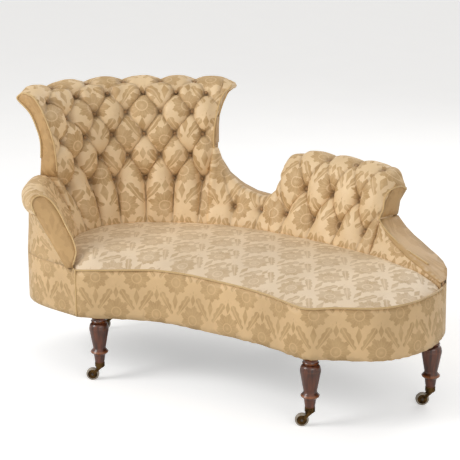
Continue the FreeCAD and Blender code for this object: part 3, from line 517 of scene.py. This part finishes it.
def metal(name, base, tarnish, rough):
    """Metal with uneven tarnish."""
    material, tree, shader = new_material(name)
    patch = noise(tree, 70.0, 5.0)
    colour = mixed(tree, patch.over(0.42, 0.66), base, tarnish)
    tree.links.new(colour, shader.inputs["Base Color"])
    shader.inputs["Metallic"].default_value = 1.0
    tree.links.new((patch * 0.3 + rough).socket, shader.inputs["Roughness"])
    bumped(tree, shader, noise(tree, 300.0), 0.0001)
    return material


def glazed(name, base, stain):
    """Glazed ceramic with fine crazing and dirt from the floor."""
    material, tree, shader = new_material(name)
    cells = tree.nodes.new("ShaderNodeTexVoronoi")
    cells.feature = "DISTANCE_TO_EDGE"
    cells.inputs["Scale"].default_value = 160.0
    tree.links.new(tree.nodes.new("ShaderNodeTexCoord").outputs["Object"], cells.inputs["Vector"])
    crack = Field(tree, cells.outputs["Distance"]).over(0.0, 0.05)
    dirt = noise(tree, 60.0, 4.0).over(0.45, 0.8)
    colour = mixed(tree, dirt * 0.6, mixed(tree, crack, stain, base), stain)
    tree.links.new(colour, shader.inputs["Base Color"])
    tree.links.new((dirt * 0.4 + 0.22).socket, shader.inputs["Roughness"])
    bumped(tree, shader, crack, 0.0001)
    return material


# One damask fabric in lit and shaded copies: the seat top and tufted back are painted lighter as lit from
# above and in front, the border and covers darker, and the facings darkest as painted shade on the sides
MATERIALS = {
    "seat": damask("seat_damask", srgb(240, 218, 188), srgb(200, 172, 134), strength=0.9),
    "border": damask("border_damask", srgb(220, 186, 138), srgb(180, 146, 98), strength=0.85),
    "tufted": damask("tufted_damask", srgb(238, 208, 164), srgb(190, 154, 104), strength=0.95),
    "facing": damask("facing_damask", srgb(202, 164, 112), srgb(176, 138, 90), strength=0.5),
    "cover": damask("cover_damask", srgb(220, 186, 138), srgb(180, 146, 98), strength=0.85),
    "piping": corded("piping", srgb(232, 202, 146), srgb(186, 148, 92)),
    "button_cloth": plain_cloth("button_cloth", srgb(196, 154, 102), srgb(120, 84, 48),
                                0.0016, 0.0002, 0.6),
    "mahogany": wood("mahogany", srgb(46, 22, 10), srgb(112, 56, 28), srgb(176, 106, 54),
                     0.6, 0.18, 0.9),
    "beech": wood("beech", srgb(150, 108, 68), srgb(192, 150, 104), srgb(200, 165, 120), 0.0, 0.5, 0.3),
    "brass": metal("brass", srgb(104, 78, 44), srgb(44, 32, 20), 0.30),
    "axle_steel": metal("axle_steel", srgb(110, 104, 98), srgb(60, 50, 44), 0.35),
    "spring_steel": metal("spring_steel", srgb(150, 150, 150), srgb(96, 88, 80), 0.28),
    "wheel_ceramic": glazed("wheel_ceramic", srgb(176, 166, 150), srgb(96, 80, 62)),
    "webbing": plain_cloth("webbing", srgb(176, 148, 108), srgb(120, 96, 62), 0.003, 0.0006),
    "hessian": plain_cloth("hessian", srgb(178, 152, 112), srgb(112, 88, 58), 0.004, 0.0008),
    "stuffing": plain_cloth("stuffing", srgb(208, 194, 168), srgb(168, 150, 122), 0.002, 0.0003),
    "bottom_cloth": plain_cloth("bottom_cloth", srgb(58, 54, 50), srgb(30, 28, 26), 0.0012, 0.0001),
}


# Shapes taken from the CAD solids
FOOT_LINE = np.stack([np.interp(np.arange(-0.03, 1.92, 0.003), fine_length, fine_xy[:, k])
                      for k in (0, 1)], 1) + SHIFT
RIM_LINE = rim_fine + SHIFT


def line_coordinates(xy, line):
    """Run along a plan line and offset to its left for every point."""
    along = np.gradient(line, axis=0)
    along /= np.maximum(np.linalg.norm(along, axis=1, keepdims=True), 1e-9)
    run = np.concatenate([[0], np.cumsum(np.linalg.norm(np.diff(line, axis=0), axis=1))])
    nearest = np.zeros(len(xy), int)
    for start in range(0, len(xy), 4000):
        part = xy[start:start + 4000]
        far = ((part[:, None] - line[None]) ** 2).sum(-1)
        nearest[start:start + 4000] = far.argmin(1)
    d = xy - line[nearest]
    t = along[nearest]
    return run[nearest] + (d * t).sum(1), d[:, 1] * t[:, 0] - d[:, 0] * t[:, 1]


def back_coordinates(points):
    """Distance along the foot line and offset behind it."""
    s, o = line_coordinates(points[:, :2], FOOT_LINE)
    return s, o


def copied(node):
    """Mesh of a CAD node in the row frame, with its split corners joined."""
    source = frame["nodes"][node]
    mesh = source.data.copy()
    mesh.transform(source.matrix_world)
    mesh.materials.clear()
    bm = bmesh.new()
    bm.from_mesh(mesh)
    bmesh.ops.remove_doubles(bm, verts=bm.verts, dist=5e-5)
    bm.to_mesh(mesh)
    bm.free()
    return mesh


def finished(mesh, name):
    obj = bpy.data.objects.new(name, mesh)
    COLLECTION.objects.link(obj)
    return obj


def rounded(node, name, voxel):
    """Even, softened mesh of a thick soft solid."""
    start = finished(copied(node), name + "_start")
    remesh = start.modifiers.new("even", "REMESH")
    remesh.mode = "VOXEL"
    remesh.voxel_size = voxel
    relax = start.modifiers.new("soft", "SMOOTH")
    relax.factor = 0.5
    relax.iterations = PAD_ROUNDS
    bpy.context.view_layer.update()
    mesh = bpy.data.meshes.new_from_object(start.evaluated_get(bpy.context.evaluated_depsgraph_get()))
    bpy.data.objects.remove(start)
    return finished(mesh, name)


def refined(node, name, longest):
    """Thin soft solid with its long edges divided."""
    mesh = copied(node)
    bm = bmesh.new()
    bm.from_mesh(mesh)
    for _ in range(6):
        long_edges = [e for e in bm.edges if e.calc_length() > longest]
        if not long_edges:
            break
        bmesh.ops.subdivide_edges(bm, edges=long_edges, cuts=1)
        bmesh.ops.triangulate(bm, faces=[f for f in bm.faces if len(f.verts) > 4])
    bm.to_mesh(mesh)
    bm.free()
    return finished(mesh, name)


def vertices(obj):
    co = np.zeros(len(obj.data.vertices) * 3)
    obj.data.vertices.foreach_get("co", co)
    normal = np.zeros(len(obj.data.vertices) * 3)
    obj.data.vertices.foreach_get("normal", normal)
    return co.reshape(-1, 3), normal.reshape(-1, 3)


def shape(obj, points, uv, material, sharp=None):
    """Gives an object its points, cloth coordinates, shading and material."""
    mesh = obj.data
    mesh.vertices.foreach_set("co", points.ravel())
    mesh.update()
    layer = mesh.uv_layers.new(name="cloth")
    loops = np.zeros(len(mesh.loops), np.int32)
    mesh.loops.foreach_get("vertex_index", loops)
    layer.data.foreach_set("uv", np.asarray(uv, float)[loops].ravel())
    mesh.polygons.foreach_set("use_smooth", [True] * len(mesh.polygons))
    if sharp:
        mesh.set_sharp_from_angle(angle=sharp)
    mesh.materials.clear()
    mesh.materials.append(material)


def placed(obj, slot, *nodes, fill=None):
    if nodes:
        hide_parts(*nodes)
    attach(obj, "body")


def ripple(points, size, seed):
    """Smooth uneven field between about -1 and 1."""
    total = np.zeros(len(points))
    draw = np.random.default_rng(seed)
    for _ in range(7):
        direction = draw.normal(size=3)
        direction /= np.linalg.norm(direction)
        wave = 2 * np.pi / (size * draw.uniform(0.7, 1.6))
        total += np.sin(points @ direction * wave + draw.uniform(0, 6.3))
    return total / 4


def distance_to(segments, s, t):
    """Distance from points to the nearest of a set of straight pleats."""
    best = np.full(len(s), 1.0)
    for s0, t0, s1, t1 in segments:
        ds, dt = s1 - s0, t1 - t0
        w = np.clip(((s - s0) * ds + (t - t0) * dt) / (ds * ds + dt * dt), 0, 1)
        best = np.minimum(best, np.hypot(s - s0 - w * ds, t - t0 - w * dt))
    return best


def pleats_between(low_row, low_z, high_row, high_z):
    """Diagonal pleats between neighbouring buttons of two rows."""
    found = []
    for a in low_row:
        for b in high_row:
            if abs(a - b) < 0.075:
                found.append((a, low_z, b, high_z))
    return found


# Distances of the button columns and heights of the rows
EVEN = [0.375, 0.460, 0.540, 0.636, 0.733, 0.830]
ODD = [0.418, 0.499, 0.586, 0.684, 0.787]
FIRST_ROW, SECOND_ROW, THIRD_ROW, FOURTH_ROW, FIFTH_ROW = 0.585, 0.670, 0.750, 0.825, 0.895
HUMP_EVEN = [1.164, 1.283, 1.398, 1.510]
HUMP_ODD = [1.222, 1.338, 1.453]
SWOOP_BUTTONS = [0.953, 1.057]
LOW_ROW, HUMP_ROW = 0.495, 0.590
TOP_T = 0.975
HUMP_TOP_T = 0.730
SEAT_SEAM = 0.40

HIGH_BUTTONS = ([(a, b) for a in EVEN for b in (FIRST_ROW, THIRD_ROW, FIFTH_ROW)]
                + [(a, b) for a in ODD for b in (SECOND_ROW, FOURTH_ROW, TOP_T)])
LOW_BUTTONS = ([(a, LOW_ROW) for a in HUMP_EVEN + SWOOP_BUTTONS] + [(a, HUMP_ROW) for a in HUMP_ODD]
               + [(a, HUMP_TOP_T) for a in HUMP_EVEN[1:]])


def ending_pleats(column, beyond):
    """Pleats from the buttons of the outermost column to the edge of the pad."""
    return [(column, FIRST_ROW, beyond, SECOND_ROW), (column, THIRD_ROW, beyond, SECOND_ROW),
            (column, THIRD_ROW, beyond, FOURTH_ROW), (column, FIFTH_ROW, beyond, FOURTH_ROW)]


high_pleats = (
    pleats_between(EVEN, FIRST_ROW, ODD, SECOND_ROW)
    + pleats_between(EVEN, THIRD_ROW, ODD, SECOND_ROW)
    + pleats_between(EVEN, THIRD_ROW, ODD, FOURTH_ROW)
    + pleats_between(EVEN, FIFTH_ROW, ODD, FOURTH_ROW)
    + pleats_between(EVEN, FIFTH_ROW, ODD, TOP_T)
    + [(s, SEAT_SEAM, s, FIRST_ROW) for s in EVEN] + [(s, TOP_T, s, 1.10) for s in ODD]
    + ending_pleats(EVEN[0], 0.300) + ending_pleats(EVEN[-1], 0.905)
)
low_pleats = (
    pleats_between(HUMP_EVEN, LOW_ROW, HUMP_ODD, HUMP_ROW)
    + pleats_between(HUMP_EVEN, HUMP_TOP_T, HUMP_ODD, HUMP_ROW)
    + [(s, SEAT_SEAM, s, LOW_ROW) for s in HUMP_EVEN + SWOOP_BUTTONS]
    + [(s, HUMP_TOP_T, s, 0.95) for s in HUMP_EVEN[1:]]
    + [(0.953, LOW_ROW, 0.990, 0.62), (0.953, LOW_ROW, 0.900, 0.61), (1.057, LOW_ROW, 1.020, 0.62),
       (1.057, LOW_ROW, 1.100, 0.60), (1.164, LOW_ROW, 1.120, 0.61), (1.510, LOW_ROW, 1.575, 0.60)]
)


def tufted(name, node, pleats, buttons, roll, back, swell, slot, material):
    """Buttoned pad: pillows swell between the pleats of its front and roll over its top."""
    obj = rounded(node, name, TUFTED_VOXEL)
    points, normal = vertices(obj)
    s, o = back_coordinates(points)
    z = points[:, 2]
    t = z + np.clip(o - roll, 0, 0.12)
    gap = distance_to(pleats, s, t)
    front = np.clip((0.045 - (o - reading(FACE, z))) / 0.03, 0, 1)
    top = smooth_step(back, back + 0.03, z) * (1 - smooth_step(roll + 0.075, roll + 0.1, o))
    facing_forward = np.maximum(front, top) * smooth_step(0.405, 0.44, z)
    near_button = distance_to([(a, b, a + 1e-6, b) for a, b in buttons], s, t)
    dimple = np.exp(-(near_button / DIMPLE_REACH) ** 2)
    from_button = 1 - np.exp(-(near_button / FUNNEL_REACH) ** 2)
    pull = 0.45 * (1 - np.exp(-gap / PLEAT_REACH)) + 0.55 * from_button
    right = np.maximum(reading(RIGHT_EDGE, z), HIGH_END) if node == "high_back_pad" else HUMP_END
    left = ARM_END if node == "high_back_pad" else -1.0
    held = 0.1 + 0.9 * smooth_step(0.0, END_REACH, np.minimum(s - left, right - s))
    height = (swell * pull * held - BUTTON_SINK * dimple) * facing_forward
    height += ripple(points, 0.05, 3) * 0.0008
    points = points + normal * height[:, None]
    shape(obj, points, np.stack([s, t], 1), material)
    # Painted shade: the fold attribute darkens the cloth colour along the pleats and round the buttons,
    # standing for the shade that falls in them
    fold = obj.data.attributes.new("fold", "FLOAT", "POINT")
    painted_crease_shade = 0.5 * np.exp(-gap / CREASE_SHADE_REACH)
    shadowed = 0.75 * np.exp(-(near_button / SHADOW_REACH) ** 2)
    depth = np.clip(painted_crease_shade + shadowed, 0, 1) * facing_forward
    fold.data.foreach_set("value", depth)
    placed(obj, slot, node, fill=PAD_FILL)
    return obj


def plain_pad(name, node, slot, material, uv, swell=None, voxel=0.006):
    obj = rounded(node, name, voxel)
    points, normal = vertices(obj)
    lift = ripple(points, 0.09, 5) * 0.001
    if swell is not None:
        lift = lift + swell(points, normal)
    shape(obj, points + normal * lift[:, None], uv(points), material)
    placed(obj, slot, node, fill=PAD_FILL)
    return obj


def sewn(name, node, slot, material, uv, swell=None):
    """Thin cover, facing or border with its cloth pulled smooth over the padding."""
    obj = refined(node, name, THIN_CLOTH_EDGE)
    points, normal = vertices(obj)
    if swell is not None:
        points = points + normal * swell(points, normal)[:, None]
    shape(obj, points, uv(points), material, sharp=math.radians(50))
    placed(obj, slot, node, fill=THIN_CLOTH_FILL)
    return obj


def back_cloth(points):
    s, o = back_coordinates(points)
    return np.stack([s, points[:, 2] + 0.9 * o], 1)


def rim_cloth(points):
    run, _ = line_coordinates(points[:, :2], RIM_LINE)
    return np.stack([run, points[:, 2]], 1)


def seat_cloth(points):
    return np.stack([points[:, 0] + 0.03, points[:, 1] + 0.05], 1)


def facing_cloth(points):
    _, o = back_coordinates(points)
    return np.stack([o - 0.13, points[:, 2]], 1)


def pressed(paths, pads, lift):
    """Points moved onto the nearest cloth and a little out of it."""
    trees = [surface_tree(pad) for pad in pads]
    found = []
    for p in paths:
        near = min((tree.find_nearest(Vector(p)) for tree in trees), key=lambda hit: hit[3])
        found.append(near[0] + near[1] * lift if near[3] < 0.02 else Vector(p))
    return np.array([tuple(v) for v in found])


def surface_tree(obj):
    return BVHTree.FromPolygons([v.co for v in obj.data.vertices],
                                [tuple(f.vertices) for f in obj.data.polygons])


def trim(name, line, cloths, lift=0.0012, radius=0.0030):
    """Piping along a seam, pressed onto the cloth beside it."""
    path = smoothed(line, max(12, int(len(line) * 6)))
    length = np.linalg.norm(np.diff(path, axis=0), axis=1).sum()
    path = pressed(resampled(path, max(12, int(length / 0.006))), cloths, lift)
    for _ in range(4):
        path[1:-1] = (path[:-2] + 2 * path[1:-1] + path[2:]) / 4
    placed(tube(name, path, radius, MATERIALS["piping"]), "piping")


# The assembly
def crown(points, normal):
    """The seat swells towards its middle and pulls in along its seam."""
    _, inset = line_coordinates(points[:, :2], RIM_LINE)
    up = np.clip(normal[:, 2], 0, 1)
    return up * (0.006 * smooth_step(0.0, 0.10, inset) - 0.001)


def gathers(points, _):
    """Small folds drawn in beside the arm's facing and along its roll."""
    s, o = back_coordinates(points)
    near = np.exp(-np.clip(s - ARM_START, 0, 1) / 0.045)
    fold = np.sin(points[:, 2] * 2 * np.pi / 0.017 + o * 2 * np.pi / 0.019)
    front = ARM_START + 0.6 * np.clip(points[:, 2] - SPLIT, 0, 1)
    held = smooth_step(0.004, 0.035, s - front)
    return held * (0.0012 * near * fold * smooth_step(0.54, 0.60, points[:, 2]) + 0.003) - 0.001


def border_swell(points, _):
    z = points[:, 2]
    share = np.clip((z - LEG_TOP) / BORDER, 0, 1)
    run, _ = line_coordinates(points[:, :2], RIM_LINE)
    pulls = np.sin(run * 2 * np.pi / 0.031) * np.exp(-share / 0.06) * 0.0012
    return 0.004 * np.sqrt(np.clip(4 * share * (1 - share), 0, 1)) + pulls


def buttons(pads):
    """Covered buttons, drawn down into the pads with the cloth round them."""
    mesh = copied("buttons")
    bm = bmesh.new()
    bm.from_mesh(mesh)
    trees = [surface_tree(pad) for pad in pads]
    waiting = set(bm.verts)
    while waiting:
        part = set()
        heads = [min(waiting, key=lambda v: v.index)]
        while heads:
            v = heads.pop()
            if v in part:
                continue
            part.add(v)
            heads.extend(e.other_vert(v) for e in v.link_edges)
        waiting -= part
        centre = sum((v.co for v in part), Vector()) / len(part)
        near = min((tree.find_nearest(centre) for tree in trees), key=lambda hit: hit[3])
        s, _ = back_coordinates(np.array(centre)[None])
        _, _, out = foot(np.clip(s[0], 0.01, 1.9))
        back = Vector((out[0], out[1], 0))
        move = near[0] + near[1] * BUTTON_PROUD - centre
        if move.length > 0.012:
            move = back * 0.006
        for v in part:
            v.co += move
    bm.to_mesh(mesh)
    bm.free()
    obj = finished(mesh, "covered_buttons")
    points, _ = vertices(obj)
    s, _ = back_coordinates(points)
    shape(obj, points, np.stack([s, points[:, 2]], 1), MATERIALS["button_cloth"], sharp=math.radians(60))
    placed(obj, "button_cloth", "buttons", fill=1.0)


def upholstery():
    tufted_cloth = MATERIALS["tufted"]
    cloths = [
        tufted("high_back", "high_back_pad", high_pleats, HIGH_BUTTONS, 0.135, 0.88, 0.015,
               "tufted_damask", tufted_cloth),
        tufted("swoop", "swoop_pad", low_pleats, LOW_BUTTONS, 0.09, 0.62, 0.011,
               "tufted_damask", tufted_cloth),
        tufted("hump", "hump_pad", low_pleats, LOW_BUTTONS, 0.09, 0.62, 0.014,
               "tufted_damask", tufted_cloth),
    ]
    buttons(cloths)
    cloths.append(plain_pad("tail", "tail_pad", "tufted_damask", tufted_cloth, back_cloth))
    cloths.append(plain_pad("arm", "arm_pad", "tufted_damask", tufted_cloth, back_cloth, gathers))
    plain_pad("arm_base_pad", "arm_base", "cover_damask", MATERIALS["cover"], back_cloth, voxel=0.005)
    plain_pad("seat", "seat_pad", "seat_damask", MATERIALS["seat"], seat_cloth, crown)
    sewn("border", "seat_border", "cover_damask", MATERIALS["border"], rim_cloth, border_swell)
    for name, cloth in (("skirt", rim_cloth), ("arm_cover", back_cloth),
                        ("high_back_cover", back_cloth), ("low_back_cover", back_cloth)):
        sewn(name, "outside_" + name, "cover_damask", MATERIALS["cover"], cloth)
    for node in ("left_back_facing", "right_back_facing", "low_back_facings", "hump_facing", "arm_facing"):
        cloths.append(sewn(node + "_cloth", node, "facing_damask", MATERIALS["facing"], facing_cloth))
        if node == "left_back_facing":
            drawn_down(cloths[-1])
    return cloths


def drawn_down(facing):
    """Carries the foot of the left facing down to the arm."""
    for v in facing.data.vertices:
        v.co.z -= 0.016 * (1 - float(smooth_step(0.652, 0.70, v.co.z)))


def section(distance, chain):
    """Line of points in one cross-section."""
    return [tuple(point(distance, o, z)) for o, z in chain]


def cording(cloths):
    places = np.linspace(0, BORDER_END, 500)
    edge = rim(places, border_top(places) + 0.0045, -0.0008)
    cord = tube("seat_cord", edge, 0.0034, MATERIALS["piping"])
    placed(cord, "piping", "seat_piping")
    corner = rim(np.zeros(30), np.linspace(LEG_TOP, LEG_TOP + BORDER + 0.002, 30), -0.003)
    placed(tube("corner_cord", corner, 0.003, MATERIALS["piping"]), "piping")
    left = [(float(reading(FACE, z)), z) for z in np.linspace(0.655, 0.920, 12)]
    left += [(0.180, 0.931), (0.197, 0.935), (0.216, 0.929), (0.229, 0.915)] + HIGH_REAR[:-1]
    trim("left_edge_cord", section(ARM_END - 0.0025, left), cloths)
    right = [tuple(point(s, float(reading(FACE, z)), z)) for z, s in RIGHT_EDGE[::-1]]
    right += [tuple(point(s, SWOOP_EDGE, z)) for s, z in SWOOP[1:]]
    trim("right_edge_cord", right, cloths)
    rear = [tuple(point(s, o, z)) for (z, s), o in
            zip(RIGHT_EDGE[::-1][1:], (0.222, 0.204, 0.190, 0.170, 0.146, 0.139, 0.139))]
    trim("right_rear_cord", rear, cloths)
    trim("hump_edge_cord", section(HUMP_END + 0.0025, HUMP_LOOP), cloths)
    tail = [tuple(point(s, 0.045, z + 0.003)) for s, z in TAIL_TOP[:-1]]
    trim("tail_edge_cord", tail, cloths)
    arm = [tuple(point(ARM_START - 0.0035, o, z, 0.6 * (z - SPLIT))) for o, z in ARM_LOOP]
    trim("arm_edge_cord", arm, cloths)


def wheel_plates():
    """Dark cheek plate on both sides of each castor wheel."""
    axis = Vector((0.5446, -0.8387, 0)).normalized()
    up = Vector((0, 0, 1))
    level = axis.cross(up)
    for place in ("front_left", "middle_front", "right_end", "rear_centre", "rear_left"):
        low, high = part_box(place + "_castor_wheel")
        middle = (low + high) / 2
        points, faces = [], []
        for side in (-1, 1):
            first = len(points)
            for reach, radius in ((0.0070, 0.0165), (0.0081, 0.0155), (0.0088, 0.006)):
                for k in range(32):
                    turn = 2 * math.pi * k / 32
                    across = level * math.cos(turn) + up * math.sin(turn)
                    points.append(tuple(middle + axis * side * reach + across * radius))
            for ring in range(2):
                for k in range(32):
                    a, b = first + ring * 32 + k, first + ring * 32 + (k + 1) % 32
                    faces.append((a, b, b + 32, a + 32))
            faces.append(tuple(range(first + 64, first + 96)))
        obj = mesh_object(place + "_wheel_plates", points, faces, [(p[0], p[2]) for p in points],
                          MATERIALS["brass"], smooth=False)
        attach(obj, place + "_wheel")


def carried_over():
    """Materials of the CAD parts that stay as they are."""
    for sub in frame["record"]["subparts"]:
        slot = sub["material_slot"]
        obj = frame["nodes"].get(sub["node"])
        if obj is None or slot not in MATERIALS:
            continue
        obj.data.materials.clear()
        obj.data.materials.append(MATERIALS[slot])
        obj.data.polygons.foreach_set("use_smooth", [True] * len(obj.data.polygons))


def lamp(name, location, target, energy, size):
    data = bpy.data.lights.new(name, "AREA")
    data.energy = energy
    data.size = size
    obj = bpy.data.objects.new(name, data)
    obj.location = location
    obj.rotation_euler = (Vector(target) - Vector(location)).to_track_quat("-Z", "Y").to_euler()
    COLLECTION.objects.link(obj)


def studio():
    """Pale floor, soft light from the upper left and the camera."""
    bpy.context.scene.view_settings.view_transform = "Standard"
    world = bpy.data.worlds.new("studio")
    bpy.context.scene.world = world
    world.use_nodes = True
    tree = world.node_tree
    background = tree.nodes["Background"]
    rays = tree.nodes.new("ShaderNodeLightPath")
    glossy = Field(tree, rays.outputs["Is Glossy Ray"]) * 0.6
    seen = Field(tree, rays.outputs["Is Camera Ray"]).op("MAXIMUM", glossy)
    background.inputs["Color"].default_value = srgb(251, 250, 249)
    tree.links.new((seen * 0.52 + 0.46).socket, background.inputs["Strength"])
    lamp("key", (-2.4, -3.4, 3.2), (0, 0, 0.5), 120, 2.2)
    lamp("fill", (3.6, -2.6, 2.4), (0, 0, 0.5), 45, 2.6)
    lamp("back", (0.4, 3.4, 3.0), (0, 0, 0.5), 40, 2.5)
    corners = [(-30, -30, 0), (30, -30, 0), (30, 30, 0), (-30, 30, 0)]
    ground = mesh_object("floor", corners, [(0, 1, 2, 3)],
                         [(0, 0), (1, 0), (1, 1), (0, 1)], floor_material())
    data = bpy.data.cameras.new("camera")
    data.lens = 109.57
    data.sensor_width = 36
    camera = bpy.data.objects.new("camera", data)
    location = Vector((2.630 + SHIFT[0], -4.051 + SHIFT[1], 1.744))
    aim = Vector((SHIFT[0], SHIFT[1], 0.45))
    camera.location = location
    camera.rotation_euler = (aim - location).to_track_quat("-Z", "Y").to_euler()
    COLLECTION.objects.link(camera)
    bpy.context.scene.camera = camera


def floor_material():
    """Pale matt floor that stays near white to the camera and keeps its shadows."""
    material, tree, shader = new_material("floor")
    colour = mixed(tree, noise(tree, 3.0, 2.0), srgb(238, 237, 236), srgb(244, 243, 242))
    tree.links.new(colour, shader.inputs["Base Color"])
    shader.inputs["Roughness"].default_value = 0.9
    rays = tree.nodes.new("ShaderNodeLightPath")
    shader.inputs["Emission Color"].default_value = srgb(250, 250, 249)
    glow = Field(tree, rays.outputs["Is Camera Ray"]) * 0.42
    tree.links.new(glow.socket, shader.inputs["Emission Strength"])
    return material


studio()
cording(upholstery())
wheel_plates()
carried_over()
